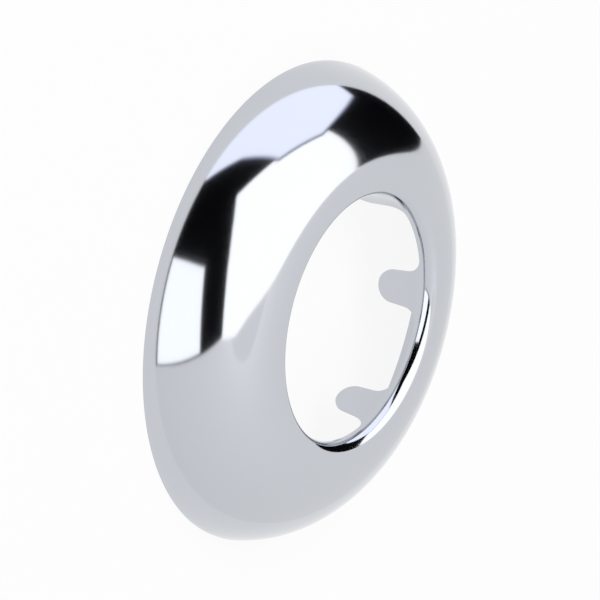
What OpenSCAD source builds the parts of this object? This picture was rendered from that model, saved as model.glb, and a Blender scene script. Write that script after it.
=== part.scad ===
// Pipe rosette: a domed cover ring, pressed from one piece of sheet. It hides the hole where a
// pipe enters a wall. The dome curls over into the pipe hole, and behind the short collar six
// spring tabs run back along the pipe and lean in to grip it.
// Z = 0 is the wall. +Z runs along the pipe, away from the wall. Sizes are in millimetres.

/* [Dome] */
// Outside diameter of the ring at the wall
outer_d = 80; // [76:1:120]
// Height of the crest above the wall
height = 14.7; // [12:0.1:18]
// Height of the straight land that the trimming die leaves at the rim
rim_land = 0.6; // [0.3:0.1:1.5]
// Thickness of the sheet
sheet_t = 0.4; // [0.3:0.05:0.8]

/* [Pipe hole] */
// Diameter of the hole, for a 40 mm pipe
hole_d = 41; // [30:0.5:44]
// Outside radius of the curl that leads from the crest into the hole
curl_r = 2; // [1.2:0.1:3]
// Length of the straight collar behind the curl
collar_h = 0.4; // [0.2:0.1:2]

/* [Spring tabs] */
// Number of tabs round the hole
tab_count = 6; // [3:1:8]
// Length of a tab behind the collar
tab_len = 7.6; // [6.6:0.1:9]
// Radius of a tab's round end
tab_end_r = 2.8; // [1.8:0.1:3.2]
// Angle at which each side of a tab widens towards its root
tab_flare = 5; // [0:0.5:10]
// Radius of the fillets at a tab's root
tab_fillet = 2.7; // [0.6:0.1:3]
// Straight length of a tab before it bends inwards
tab_root = 0.2; // [0.1:0.1:1]
// Angle at which a tab leans in towards the pipe
tab_lean = 6; // [0:0.5:9]

/* [Hidden] */
$fn = 180;

// How far a cutting tool runs past what it cuts
past = 1;
// How far a round end or a fillet runs past the line that it blends into, so that the two cross
runout = 0.02;

outer_r = outer_d / 2;
hole_r = hole_d / 2;

// The crest is where the dome's arc and the curl's arc meet, both level there
crest_r = hole_r + curl_r;
dome_w = outer_r - crest_r;
dome_h = height - rim_land;
dome_r = (dome_w * dome_w + dome_h * dome_h) / (2 * dome_h);

// Levels down the inside of the hole
curl_z = height - curl_r;
collar_z = curl_z - collar_h;
bend_z = collar_z - tab_root;
tip_z = collar_z - tab_len;
end_z = tip_z + tab_end_r;

// Radii that clear the collar and the tabs, on the dome's side and on the pipe's side
skirt_out = hole_r + sheet_t + past;
skirt_in = hole_r - tab_len * tan(tab_lean) - past;

// Half the width of a tab at a level, along its straight sides
function half_w(z) = (tab_end_r - runout) / cos(tab_flare) + (z - end_z) * tan(tab_flare);

// A pie slice that reaches well past a radius, from the +Y direction round to an angle clockwise
module slice(r, angle, steps = 6) {
    polygon([
        [0, 0],
        for (i = [0:steps]) 2 * r * [sin(angle * i / steps), cos(angle * i / steps)]
    ]);
}

// An arc of sheet: its outside radius, and its angle clockwise from the crest
module sheet_arc(r, angle) {
    intersection() {
        difference() {
            circle(r);
            circle(r - sheet_t);
        }
        slice(r, angle);
    }
}

// Section of the collar and of the tabs: straight behind the curl, then leaning in
module skirt_section() {
    lean = [-sin(tab_lean), -cos(tab_lean)];
    run = (bend_z - tip_z + past / 2) / cos(tab_lean);
    inner_bend = [hole_r, bend_z];
    outer_bend = [hole_r + sheet_t, bend_z - sheet_t * tan(tab_lean / 2)];
    polygon([
        [hole_r, curl_z],
        inner_bend,
        inner_bend + run * lean,
        outer_bend + run * lean,
        outer_bend,
        [hole_r + sheet_t, curl_z]
    ]);
}

// All that lies within the dome's arc and the rim, from the crest outwards, less an inset
module dome_fill(inset) {
    intersection() {
        translate([crest_r, height - dome_r]) circle(dome_r - inset);
        translate([crest_r, -inset]) square([dome_w - inset, height + past]);
    }
}

// Section of the dome and of the land at its rim
module dome_section() {
    difference() {
        dome_fill(0);
        dome_fill(sheet_t);
    }
}

// Section of the whole pressing before the tabs are punched
module section() {
    dome_section();
    translate([crest_r, curl_z]) sheet_arc(curl_r, -90);
    skirt_section();
}

// Outline of one tab, seen along the radius: X across the tab, Y up the pipe. Its sides run
// straight from the round end into the root fillets, which end at the collar's edge.
module tab_outline() {
    side = [cos(tab_flare), -sin(tab_flare)];
    foot = [0, end_z] + (tab_end_r - runout) * side;
    fillet_z = collar_z - tab_fillet + runout;
    reach = tab_fillet - runout;
    fillet = [half_w(fillet_z) + reach / side[0], fillet_z];
    half = [foot, fillet - reach * side, fillet, [fillet[0], curl_z]];
    translate([0, end_z]) circle(tab_end_r);
    difference() {
        polygon([for (p = half) p, for (i = [3:-1:0]) [-half[i][0], half[i][1]]]);
        for (x = [-fillet[0], fillet[0]])
            translate([x, fillet_z]) circle(tab_fillet);
    }
}

// What the die punches out behind the collar: a ring, but for the six tabs
module punched_waste() {
    difference() {
        translate([0, 0, tip_z - past])
            difference() {
                cylinder(h = collar_z - tip_z + past, r = skirt_out);
                translate([0, 0, -past])
                    cylinder(h = collar_z - tip_z + 3 * past, r = skirt_in);
            }
        for (i = [0:tab_count - 1])
            rotate([0, 0, i * 360 / tab_count])
                translate([skirt_in - 2 * past, 0, 0])
                    rotate([90, 0, 90])
                        linear_extrude(skirt_out - skirt_in + 3 * past) tab_outline();
    }
}

module rosette() {
    color("gainsboro")
        difference() {
            rotate_extrude() section();
            punched_waste();
        }
}

rosette();
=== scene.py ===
"""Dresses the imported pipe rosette: one chrome-plated pressing on a pale studio floor.

The ring is modelled again with finer faces than the solid has, so that its plating mirrors
the studio cleanly, and it stands for the CAD node. All sizes in the classes are millimetres
unless a name says otherwise; Blender's own are metres.
"""

import logging
import math
from dataclasses import dataclass, field
from enum import Enum
from typing import Optional, Sequence

import bmesh
import bpy
from mathutils import Matrix, Vector


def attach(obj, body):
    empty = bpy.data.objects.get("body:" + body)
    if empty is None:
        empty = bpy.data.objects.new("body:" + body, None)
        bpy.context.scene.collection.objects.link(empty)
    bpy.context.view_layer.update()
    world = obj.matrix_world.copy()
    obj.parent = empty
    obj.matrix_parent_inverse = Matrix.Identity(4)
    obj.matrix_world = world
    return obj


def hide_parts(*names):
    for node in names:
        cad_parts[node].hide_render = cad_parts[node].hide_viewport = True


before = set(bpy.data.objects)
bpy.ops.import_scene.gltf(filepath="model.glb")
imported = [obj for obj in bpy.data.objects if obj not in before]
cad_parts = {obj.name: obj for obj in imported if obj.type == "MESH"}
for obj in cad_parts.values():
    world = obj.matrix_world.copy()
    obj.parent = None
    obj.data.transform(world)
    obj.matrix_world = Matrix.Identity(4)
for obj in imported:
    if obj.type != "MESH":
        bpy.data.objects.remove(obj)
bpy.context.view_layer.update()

MM = 0.001
LOG = logging.getLogger("rosette")
Colour = tuple[float, float, float, float]
Bearing = tuple[float, float]


def linear(code: str) -> Colour:
    """Turns an sRGB hex colour into linear light.

    Args:
        code: six hex digits.

    Returns:
        The linear red, green and blue, and an alpha of 1.
    """
    parts = [int(code[i:i + 2], 16) / 255 for i in (0, 2, 4)]
    light = [p / 12.92 if p <= 0.04045 else ((p + 0.055) / 1.055) ** 2.4 for p in parts]
    return (*light, 1.0)


def add_node(tree: bpy.types.NodeTree, kind: str, settings: Optional[dict] = None,
             **links: object) -> bpy.types.Node:
    """Adds a node, with its settings, socket values and links.

    Args:
        tree: the node tree.
        kind: the node's type name.
        settings: attributes of the node itself.
        links: input sockets by name or by in0, in1 and so on, each with a value or with
            the output socket that feeds it. An underscore stands for a space.

    Returns:
        The new node.
    """
    node = tree.nodes.new(kind)
    for name, value in (settings or {}).items():
        setattr(node, name, value)
    for name, value in links.items():
        place = int(name[2:]) if name[:2] == "in" and name[2:].isdigit() else name.replace("_", " ")
        socket = node.inputs[place]
        if isinstance(value, bpy.types.NodeSocket):
            tree.links.new(value, socket)
        else:
            socket.default_value = value
    return node


def new_material(name: str) -> tuple[bpy.types.Material, bpy.types.NodeTree, bpy.types.Node]:
    """Makes an empty node material.

    Args:
        name: the material's name.

    Returns:
        The material, its tree and its output node.
    """
    material = bpy.data.materials.new(name)
    material.use_nodes = True
    material.node_tree.nodes.clear()
    output = material.node_tree.nodes.new("ShaderNodeOutputMaterial")
    return material, material.node_tree, output


def deselect_all() -> None:
    """Leaves object mode with nothing selected."""
    if bpy.context.mode != "OBJECT":
        bpy.ops.object.mode_set(mode="OBJECT")
    bpy.ops.object.select_all(action="DESELECT")


def start_edit(piece: bpy.types.Object) -> None:
    """Opens one piece alone in edit mode, with nothing selected in it."""
    deselect_all()
    piece.select_set(True)
    bpy.context.view_layer.objects.active = piece
    bpy.ops.object.mode_set(mode="EDIT")
    bpy.ops.mesh.select_mode(type="VERT")
    bpy.ops.mesh.select_all(action="DESELECT")


def azimuth_of(point: Vector) -> float:
    """The angle of a point round the Z axis, in degrees."""
    return math.degrees(math.atan2(point.y, point.x))


@dataclass(frozen=True)
class ChromePlate:
    """Bright decorative chromium on pressed steel sheet.

    The sheet is drawn, punched, polished and then plated, so its front is a mirror. Chromium
    reflects a little over half of the light, slightly more of the blue.
    """

    tint: str = "C6C9CF"
    polish: float = 0.09
    peel_mm: float = 1.6
    peel_height_mm: float = 0.00035

    def make(self) -> bpy.types.Material:
        """Builds the material.

        Returns:
            The finished material.
        """
        material, tree, output = new_material("chrome_plate")
        place = add_node(tree, "ShaderNodeTexCoord")
        # The plating follows a faint unevenness of the polished sheet
        peel = add_node(tree, "ShaderNodeTexNoise", Vector=place.outputs["Object"],
                        Scale=1000 / self.peel_mm, Detail=2.0, Roughness=0.45)
        bump = add_node(tree, "ShaderNodeBump", Strength=1.0,
                        Distance=self.peel_height_mm * MM, Height=peel.outputs["Fac"])
        shell = add_node(tree, "ShaderNodeBsdfPrincipled", Base_Color=linear(self.tint),
                         Metallic=1.0, Roughness=self.polish, Normal=bump.outputs["Normal"])
        tree.links.new(shell.outputs["BSDF"], output.inputs["Surface"])
        return material


@dataclass(frozen=True)
class Paper:
    """White seamless background paper: plain and matt, and lit so evenly that it shows white."""

    tint: str = "F4F4F4"
    glow: float = 0.9

    def make(self) -> bpy.types.Material:
        """Builds the material.

        Returns:
            The finished material.
        """
        material, tree, output = new_material("seamless_paper")
        path = add_node(tree, "ShaderNodeLightPath")
        seen = add_node(tree, "ShaderNodeMath", {"operation": "MAXIMUM"},
                        in0=path.outputs["Is Camera Ray"], in1=path.outputs["Is Glossy Ray"])
        seen = add_node(tree, "ShaderNodeMath", {"operation": "MAXIMUM"},
                        in0=seen.outputs[0], in1=path.outputs["Is Transmission Ray"])
        share = add_node(tree, "ShaderNodeMath", {"operation": "MULTIPLY"},
                         in0=seen.outputs[0], in1=self.glow)
        matt = add_node(tree, "ShaderNodeBsdfDiffuse", Color=linear(self.tint))
        white = add_node(tree, "ShaderNodeEmission", Color=(1, 1, 1, 1), Strength=1.0)
        mix = add_node(tree, "ShaderNodeMixShader", Fac=share.outputs[0],
                       in1=matt.outputs[0], in2=white.outputs[0])
        tree.links.new(mix.outputs[0], output.inputs["Surface"])
        return material


@dataclass(frozen=True)
class Panel:
    """The face of a panel or curtain in the studio, from black cloth to a lit softbox.

    Its vertices carry a share of the light, so that a softbox fades towards its edge.
    """

    name: str
    tint: str
    light: float
    edge_tint: str = ""

    def make(self) -> bpy.types.Material:
        """Builds the material.

        Returns:
            The finished material.
        """
        material, tree, output = new_material(self.name)
        share = add_node(tree, "ShaderNodeAttribute", {"attribute_name": "glow"})
        colour = add_node(tree, "ShaderNodeMix", {"data_type": "RGBA"},
                          Factor=share.outputs["Fac"])
        colour.inputs[6].default_value = linear(self.edge_tint or self.tint)
        colour.inputs[7].default_value = linear(self.tint)
        level = add_node(tree, "ShaderNodeMath", {"operation": "MULTIPLY"},
                         in0=share.outputs["Fac"], in1=self.light)
        face = add_node(tree, "ShaderNodeEmission", Color=colour.outputs[2],
                        Strength=level.outputs[0])
        tree.links.new(face.outputs[0], output.inputs["Surface"])
        return material


@dataclass
class TabOutline:
    """Outline of one spring tab, as punched: across the tab, and its level above the wall."""

    collar_z: float = 12.3
    length: float = 7.6
    end_r: float = 2.8
    flare: float = 5.0
    fillet: float = 2.7
    end_steps: int = 11
    side_steps: int = 3
    fillet_steps: int = 7

    @property
    def end_z(self) -> float:
        """Level of the round end's centre."""
        return self.collar_z - self.length + self.end_r

    def points(self) -> list[tuple[float, float]]:
        """Goes from the tip's middle to the end of the root fillet.

        Returns:
            The distance from the tab's middle and the level, point by point.
        """
        slope = math.radians(self.flare)
        path = []
        for i in range(self.end_steps + 1):
            turn = (math.pi / 2 - slope) * i / self.end_steps
            path.append((self.end_r * math.sin(turn), self.end_z - self.end_r * math.cos(turn)))
        foot = path[-1]
        fillet_z = self.collar_z - self.fillet
        rise = fillet_z + self.fillet * math.sin(slope) - foot[1]
        head = (foot[0] + rise * math.tan(slope), foot[1] + rise)
        for i in range(1, self.side_steps + 1):
            share = i / self.side_steps
            path.append((foot[0] + share * (head[0] - foot[0]), foot[1] + share * rise))
        centre = (head[0] + self.fillet * math.cos(slope), fillet_z)
        for i in range(1, self.fillet_steps + 1):
            turn = slope + (math.pi / 2 - slope) * i / self.fillet_steps
            path.append((centre[0] - self.fillet * math.cos(turn),
                         centre[1] + self.fillet * math.sin(turn)))
        return path


@dataclass
class PressedRing:
    """The whole rosette: dome, rim land, curl, collar and six tabs, one pressing of sheet."""

    outer_r: float = 40.0
    height: float = 14.7
    rim_land: float = 0.6
    sheet: float = 0.4
    hole_r: float = 20.5
    curl_r: float = 2.0
    lean: float = 6.0
    bend_z: float = 12.1
    bend_r: float = 9.0
    tab_count: int = 6
    turn_step: float = 2.5
    tab: TabOutline = field(default_factory=TabOutline)
    rows: Sequence[float] = (0.0, 0.05, 0.1, 0.15, 0.2, 0.25, 0.3, 0.37, 0.45, 0.57, 0.75, 1.0)
    gap_columns: int = 9

    def __post_init__(self) -> None:
        """Works out the arcs of the section."""
        self.crest_r = self.hole_r + self.curl_r
        self.dome_w = self.outer_r - self.crest_r
        self.dome_h = self.height - self.rim_land
        self.dome_r = (self.dome_w ** 2 + self.dome_h ** 2) / (2 * self.dome_h)
        self.dome_end = math.degrees(math.atan2(self.dome_w, self.dome_r - self.dome_h))
        self.curl_z = self.height - self.curl_r
        self.half_pitch = 180 / self.tab_count
        self.outline = self.tab.points()
        self.columns = len(self.outline) - 1 + self.gap_columns

    def section(self) -> list[tuple[float, float]]:
        """Section of the sheet's front, from the rim over the crest to the end of the curl.

        Returns:
            Radius and level, point by point.
        """
        path = [(self.outer_r, 0.0), (self.outer_r, self.rim_land * 0.5)]
        steps = round(self.dome_end / self.turn_step)
        for i in range(steps + 1):
            turn = math.radians(self.dome_end * (1 - i / steps))
            path.append((self.crest_r + self.dome_r * math.sin(turn),
                         self.height - self.dome_r * (1 - math.cos(turn))))
        steps = round(90 / self.turn_step)
        for i in range(1, steps + 1):
            turn = math.radians(90 * i / steps)
            path.append((self.crest_r - self.curl_r * math.sin(turn),
                         self.curl_z + self.curl_r * math.cos(turn)))
        return path

    def column_bearings(self) -> list[float]:
        """Azimuths of the columns of faces at the tab, from its middle to half the gap.

        Returns:
            Degrees, in rising order.
        """
        tab = [math.degrees(math.asin(x / self.hole_r)) for x, _ in self.outline]
        rest = self.half_pitch - tab[-1]
        return tab + [tab[-1] + rest * (i + 1) / self.gap_columns for i in range(self.gap_columns)]

    def skirt_radius(self, z: float) -> float:
        """Radius of the skirt's pipe side: straight, then a smooth bend, then the lean."""
        lean = math.radians(self.lean)
        arc = self.bend_r * math.sin(lean)
        drop = self.bend_z + arc / 2 - z
        if drop <= 0:
            return self.hole_r
        if drop < arc:
            return self.hole_r - (self.bend_r - math.sqrt(self.bend_r ** 2 - drop ** 2))
        return (self.hole_r - self.bend_r * (1 - math.cos(lean))
                - (drop - arc) * math.tan(lean))

    def draw_section(self) -> bpy.types.Object:
        """Draws the section as a chain of edges, from one vertex at the rim.

        Returns:
            The piece that the rest is made from.
        """
        path = self.section()
        deselect_all()
        bpy.ops.mesh.primitive_plane_add(size=MM, location=(path[0][0] * MM, 0, 0))
        piece = bpy.context.object
        piece.name = piece.data.name = "pressed_ring"
        bpy.ops.object.transform_apply(location=True, rotation=True, scale=True)
        start_edit(piece)
        bpy.ops.mesh.select_all(action="SELECT")
        bpy.ops.mesh.merge(type="CENTER")
        for a, b in zip(path, path[1:]):
            step = ((b[0] - a[0]) * MM, 0, (b[1] - a[1]) * MM)
            bpy.ops.mesh.extrude_region_move(TRANSFORM_OT_translate={"value": step})
        return piece

    def spin_half_pitch(self) -> None:
        """Spins the section from a tab's middle to the middle of the gap beside it.

        Spin turns clockwise as seen along its axis, so the axis points down.
        """
        bpy.ops.mesh.select_all(action="SELECT")
        bpy.ops.mesh.spin(steps=self.columns, angle=math.radians(self.half_pitch),
                          center=(0, 0, 0), axis=(0, 0, -1))

    def settle_columns(self, piece: bpy.types.Object) -> None:
        """Lets the columns drift over the curl, from an even pitch to the tab's outline."""
        bearings = self.column_bearings()
        mesh = bmesh.from_edit_mesh(piece.data)
        for v in mesh.verts:
            r = math.hypot(v.co.x, v.co.y)
            if r > (self.crest_r - 0.01) * MM:
                continue
            share = min(1.0, (self.crest_r - r / MM) / self.curl_r)
            share = math.degrees(math.asin(share)) / 90
            share = share * share * (3 - 2 * share)
            column = round(azimuth_of(v.co) * self.columns / self.half_pitch)
            even = column * self.half_pitch / self.columns
            turn = math.radians(even + share * (bearings[column] - even))
            v.co.x, v.co.y = r * math.cos(turn), r * math.sin(turn)
        bmesh.update_edit_mesh(piece.data)

    def draw_skirt(self, piece: bpy.types.Object) -> None:
        """Extrudes the curl's edge down into the collar and the half tab, row by row."""
        bearings = self.column_bearings()
        mesh = bmesh.from_edit_mesh(piece.data)
        bpy.ops.mesh.select_all(action="DESELECT")
        for edge in mesh.edges:
            if all(abs(v.co.z - self.curl_z * MM) < 1e-6 and math.hypot(v.co.x, v.co.y)
                   < (self.hole_r + 0.01) * MM for v in edge.verts):
                edge.select_set(True)
        bmesh.update_edit_mesh(piece.data)
        for share in self.rows[1:]:
            bpy.ops.mesh.extrude_region_move(TRANSFORM_OT_translate={"value": (0, 0, -0.01 * MM)})
            mesh = bmesh.from_edit_mesh(piece.data)
            for v in mesh.verts:
                if v.select:
                    self.place_on_skirt(v, share, bearings)
            bmesh.update_edit_mesh(piece.data)

    def place_on_skirt(self, v: bmesh.types.BMVert, share: float, bearings: list[float]) -> None:
        """Moves a vertex of the skirt to its place.

        Args:
            v: the vertex, at or near its column.
            share: how far down its column it goes, from 0 to 1.
            bearings: azimuths of the columns at the curl's edge.
        """
        def off(i: int) -> float:
            """How far a column lies from the vertex, across the tab or round the gap."""
            if i < len(self.outline):
                return abs(self.outline[i][0] * MM - v.co.y)
            return abs(self.hole_r * MM * math.radians(bearings[i] - azimuth_of(v.co)))
        column = min(range(len(bearings)), key=off)
        if column < len(self.outline):
            across, low = self.outline[column]
        else:
            across, low = None, self.tab.collar_z
        z = self.curl_z - share * (self.curl_z - low)
        r = self.skirt_radius(z)
        if across is None:
            turn = math.radians(bearings[column])
            v.co = Vector((r * math.cos(turn), r * math.sin(turn), z)) * MM
        else:
            v.co = Vector((math.sqrt(r * r - across * across), across, z)) * MM

    def repeat_round_axis(self, piece: bpy.types.Object) -> None:
        """Mirrors the half pitch, and copies the whole pitch round the axis."""
        deselect_all()
        piece.select_set(True)
        bpy.context.view_layer.objects.active = piece
        bpy.ops.object.modifier_add(type="MIRROR")
        mirror = piece.modifiers[-1]
        mirror.use_axis = (False, True, False)
        mirror.merge_threshold = 1e-6
        bpy.ops.object.modifier_apply(modifier=mirror.name)
        start_edit(piece)
        bpy.ops.mesh.select_all(action="SELECT")
        bpy.ops.mesh.spin(steps=self.tab_count - 1, dupli=True, center=(0, 0, 0), axis=(0, 0, 1),
                          angle=math.radians(360 - 360 / self.tab_count))
        bpy.ops.mesh.select_all(action="SELECT")
        bpy.ops.mesh.remove_doubles(threshold=2e-6)
        bpy.ops.mesh.normals_make_consistent(inside=False)
        mesh = bmesh.from_edit_mesh(piece.data)
        crest = max(mesh.faces, key=lambda f: f.calc_center_median().z)
        if crest.normal.z < 0:
            bpy.ops.mesh.flip_normals()
        bpy.ops.object.mode_set(mode="OBJECT")

    def give_thickness(self, piece: bpy.types.Object) -> None:
        """Gives the skin the sheet's thickness, behind its front."""
        deselect_all()
        piece.select_set(True)
        bpy.context.view_layer.objects.active = piece
        bpy.ops.object.modifier_add(type="SOLIDIFY")
        sheet = piece.modifiers[-1]
        sheet.thickness = self.sheet * MM
        sheet.offset = -1
        sheet.use_even_offset = True
        bpy.ops.object.modifier_apply(modifier=sheet.name)

    def build(self) -> bpy.types.Object:
        """Models the whole ring.

        Returns:
            The finished mesh, at the origin.
        """
        piece = self.draw_section()
        self.spin_half_pitch()
        self.settle_columns(piece)
        self.draw_skirt(piece)
        self.repeat_round_axis(piece)
        self.give_thickness(piece)
        deselect_all()
        piece.select_set(True)
        bpy.context.view_layer.objects.active = piece
        bpy.ops.object.shade_smooth_by_angle(angle=math.radians(50))
        return piece

    def dress(self, piece: bpy.types.Object) -> None:
        """Plates the ring, and lets it stand for the CAD node."""
        piece.data.materials.clear()
        piece.data.materials.append(ChromePlate().make())
        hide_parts("rosette")
        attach(piece, "root")


@dataclass
class Viewpoint:
    """The camera, where the photograph was taken from. Bearings in the studio count from it."""

    azimuth: float = 159.946
    place_mm: tuple[float, float, float] = (-702.04, 256.27, 461.78)
    right: tuple[float, float, float] = (0.56339639, 0.0675527, 0.82342039)
    down: tuple[float, float, float] = (-0.20451845, -0.95422891, 0.21821867)
    lens_mm: float = 323.57

    def build(self) -> bpy.types.Object:
        """Places the camera.

        Returns:
            The camera, which the scene then uses.
        """
        right, up = Vector(self.right), -Vector(self.down)
        turn = Matrix((right, up, right.cross(up))).transposed()
        deselect_all()
        bpy.ops.object.camera_add(location=Vector(self.place_mm) * MM,
                                  rotation=turn.to_euler())
        camera = bpy.context.object
        camera.name = "viewpoint"
        camera.data.sensor_width = 36
        camera.data.lens = self.lens_mm
        camera.data.clip_start, camera.data.clip_end = 0.01, 20
        bpy.context.scene.camera = camera
        return camera


class Shape(Enum):
    """How a studio panel stands."""

    OVERHEAD = "level, at a height"
    UPRIGHT = "facing the ring, at a distance"


@dataclass
class StudioPanel:
    """One softbox, drawn by the bearings of its corners as the ring sees them.

    A corner is its bearing from the camera's, counted anticlockwise from above, and its
    elevation, both in degrees.
    """

    name: str
    shape: Shape
    finish: Panel
    corners: Sequence[Bearing]
    reach_m: float
    fade: float = 0.0
    centre: tuple[float, float, float] = (0.0, 0.0, 0.01)

    def corner_points(self, north: float) -> list[Vector]:
        """Works out where the corners stand.

        Args:
            north: the camera's azimuth, in degrees.

        Returns:
            One point for each corner, all in one plane.
        """
        rays = []
        for bearing, elevation in self.corners:
            a, e = math.radians(north + bearing), math.radians(elevation)
            rays.append(Vector((math.cos(a) * math.cos(e), math.sin(a) * math.cos(e), math.sin(e))))
        facing = Vector((0, 0, 1))
        if self.shape is Shape.UPRIGHT:
            facing = sum(rays, Vector()).normalized()
        return [Vector(self.centre) + ray * (self.reach_m / ray.dot(facing)) for ray in rays]

    def build(self, north: float) -> bpy.types.Object:
        """Makes the panel, seen in the plating only.

        Args:
            north: the camera's azimuth, in degrees.

        Returns:
            The panel.
        """
        points = self.corner_points(north)
        deselect_all()
        bpy.ops.mesh.primitive_circle_add(vertices=len(points), radius=1, fill_type="NGON")
        panel = bpy.context.object
        panel.name = panel.data.name = self.name
        for vertex, point in zip(panel.data.vertices, points):
            vertex.co = point
        panel.data.update()
        if self.fade:
            start_edit(panel)
            bpy.ops.mesh.select_mode(type="FACE")
            bpy.ops.mesh.select_all(action="SELECT")
            bpy.ops.mesh.inset(thickness=self.fade, use_even_offset=True)
            bpy.ops.object.mode_set(mode="OBJECT")
        glow = panel.data.attributes.new("glow", "FLOAT", "POINT")
        for vertex, item in zip(panel.data.vertices, glow.data):
            edge = self.fade and any((vertex.co - p).length < 1e-5 for p in points)
            item.value = 0.0 if edge else 1.0
        panel.data.materials.append(self.finish.make())
        show_in_plating_only(panel)
        return panel


def show_in_plating_only(thing: bpy.types.Object) -> None:
    """Keeps a panel out of the picture and off the floor: only mirrors see it."""
    thing.visible_camera = thing.visible_diffuse = thing.visible_shadow = False
    thing.visible_transmission = thing.visible_volume_scatter = False


@dataclass
class Curtain:
    """A curved curtain round the ring: black cloth, or the lit backdrop paper."""

    name: str
    finish: Panel
    start: float
    end: float
    radius_m: float
    height_m: float
    low_glow: float = 1.0

    def build(self, north: float) -> bpy.types.Object:
        """Spins the curtain up from the floor.

        Args:
            north: the camera's azimuth, in degrees.

        Returns:
            The curtain.
        """
        deselect_all()
        bpy.ops.mesh.primitive_plane_add(size=2)
        curtain = bpy.context.object
        curtain.name = curtain.data.name = self.name
        start_edit(curtain)
        bpy.ops.mesh.select_all(action="SELECT")
        bpy.ops.mesh.merge(type="CENTER")
        a = math.radians(north + self.start)
        foot = (self.radius_m * math.cos(a), self.radius_m * math.sin(a), -0.02)
        bpy.ops.transform.translate(value=foot)
        for _ in range(4):
            rise = {"value": (0, 0, self.height_m / 4)}
            bpy.ops.mesh.extrude_region_move(TRANSFORM_OT_translate=rise)
        bpy.ops.mesh.select_all(action="SELECT")
        bpy.ops.mesh.spin(steps=48, angle=math.radians(self.end - self.start),
                          center=(0, 0, 0), axis=(0, 0, -1))
        bpy.ops.object.mode_set(mode="OBJECT")
        glow = curtain.data.attributes.new("glow", "FLOAT", "POINT")
        for vertex, item in zip(curtain.data.vertices, glow.data):
            share = (vertex.co.z + 0.02) / self.height_m
            item.value = self.low_glow + (1 - self.low_glow) * share
        curtain.data.materials.append(self.finish.make())
        show_in_plating_only(curtain)
        return curtain


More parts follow.
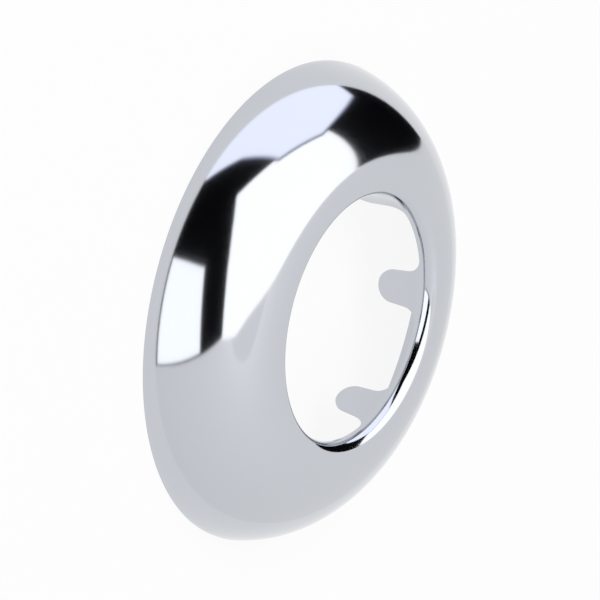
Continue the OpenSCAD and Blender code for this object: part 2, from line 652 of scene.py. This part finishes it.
@dataclass
class Studio:
    """Pale floor, soft lamps, and the softboxes and curtains that the plating mirrors."""

    north: float
    lamp_watts: float = 9.0
    fill: float = 0.45

    def lay_floor(self) -> bpy.types.Object:
        """Lays the paper floor that the ring rests on."""
        deselect_all()
        bpy.ops.mesh.primitive_plane_add(size=12, location=(0, 0, -0.00002))
        floor = bpy.context.object
        floor.name = "floor"
        floor.data.materials.append(Paper().make())
        return floor

    def light_world(self) -> None:
        """Gives an even white surround, dimmer as a source of light than it looks."""
        world = bpy.data.worlds.new("white_surround")
        bpy.context.scene.world = world
        world.use_nodes = True
        tree = world.node_tree
        tree.nodes.clear()
        path = add_node(tree, "ShaderNodeLightPath")
        seen = add_node(tree, "ShaderNodeMath", {"operation": "MAXIMUM"},
                        in0=path.outputs["Is Camera Ray"], in1=path.outputs["Is Glossy Ray"])
        seen = add_node(tree, "ShaderNodeMath", {"operation": "MAXIMUM"},
                        in0=seen.outputs[0], in1=path.outputs["Is Transmission Ray"])
        soft = add_node(tree, "ShaderNodeBackground", Color=(1, 1, 1, 1), Strength=self.fill)
        white = add_node(tree, "ShaderNodeBackground", Color=(1, 1, 1, 1), Strength=1.0)
        mix = add_node(tree, "ShaderNodeMixShader", Fac=seen.outputs[0],
                       in1=soft.outputs[0], in2=white.outputs[0])
        output = add_node(tree, "ShaderNodeOutputWorld", Surface=mix.outputs[0])
        output.is_active_output = True

    def hang_lamp(self, bearing: float, elevation: float, distance: float,
                  size: float, watts: float) -> bpy.types.Object:
        """Hangs a soft square lamp that points at the ring.

        Args:
            bearing: degrees round from the camera's azimuth.
            elevation: degrees above the floor.
            distance: metres from the ring.
            size: side in metres.
            watts: its power.

        Returns:
            The lamp.
        """
        a, e = math.radians(self.north + bearing), math.radians(elevation)
        way = Vector((math.cos(a) * math.cos(e), math.sin(a) * math.cos(e), math.sin(e)))
        deselect_all()
        bpy.ops.object.light_add(type="AREA", location=way * distance)
        lamp = bpy.context.object
        lamp.rotation_euler = way.to_track_quat("Z", "Y").to_euler()
        lamp.data.shape = "SQUARE"
        lamp.data.size = size
        lamp.data.energy = watts
        lamp.visible_glossy = False
        return lamp

    def panels(self) -> list[StudioPanel]:
        """Lists the softboxes that the plating mirrors, as the ring sees them."""
        warm = Panel("overhead_softbox", "FFFFFC", 1.75)
        cool = Panel("side_softbox", "F1F4FF", 1.62, "C3C9F2")
        small = Panel("small_softbox", "FCFDFF", 1.72)
        return [
            StudioPanel("softbox_overhead", Shape.OVERHEAD, warm, [
                (-158.5, 40), (-110, 31.5), (-80, 38), (-45, 33), (-30, 46), (-10, 56), (10, 61),
                (42, 62), (58, 73), (70, 79.5), (90, 83), (121, 84), (150, 83), (180, 76),
                (-170, 66), (-163, 54)], 0.8),
            StudioPanel("softbox_side", Shape.UPRIGHT, cool, [
                (-112, 36), (-129, 7.5), (-124, -3), (-36, -3.5), (-58, 17.5), (-78, 40)],
                1.0, 0.05),
            StudioPanel("softbox_small", Shape.UPRIGHT, small, [
                (-6, 34), (-6, 0.5), (41, 0.5), (40, 42)], 1.0, 0.02),
        ]

    def build(self) -> None:
        """Sets up the whole studio."""
        self.lay_floor()
        self.light_world()
        self.hang_lamp(-45, 48, 1.4, 0.9, self.lamp_watts)
        self.hang_lamp(120, 60, 1.4, 0.9, self.lamp_watts * 0.5)
        for panel in self.panels():
            panel.build(self.north)
            LOG.info("panel %s", panel.name)
        Curtain("black_curtain", Panel("curtain_cloth", "0A0A0C", 1.0), -158.5, 41.5,
                1.6, 4.5).build(self.north)
        Curtain("backdrop", Panel("backdrop_paper", "FFFFFF", 1.15), 41.5, 201.5,
                2.0, 6.0, 0.8).build(self.north)


def main() -> None:
    """Builds the ring, the studio and the camera."""
    logging.basicConfig(level=logging.INFO, format="%(name)s: %(message)s")
    bpy.context.scene.view_settings.view_transform = "Standard"
    viewpoint = Viewpoint()
    viewpoint.build()
    ring = PressedRing()
    piece = ring.build()
    ring.dress(piece)
    LOG.info("pressed_ring: %d faces", len(piece.data.polygons))
    Studio(viewpoint.azimuth).build()


if __name__ == "__main__":
    main()
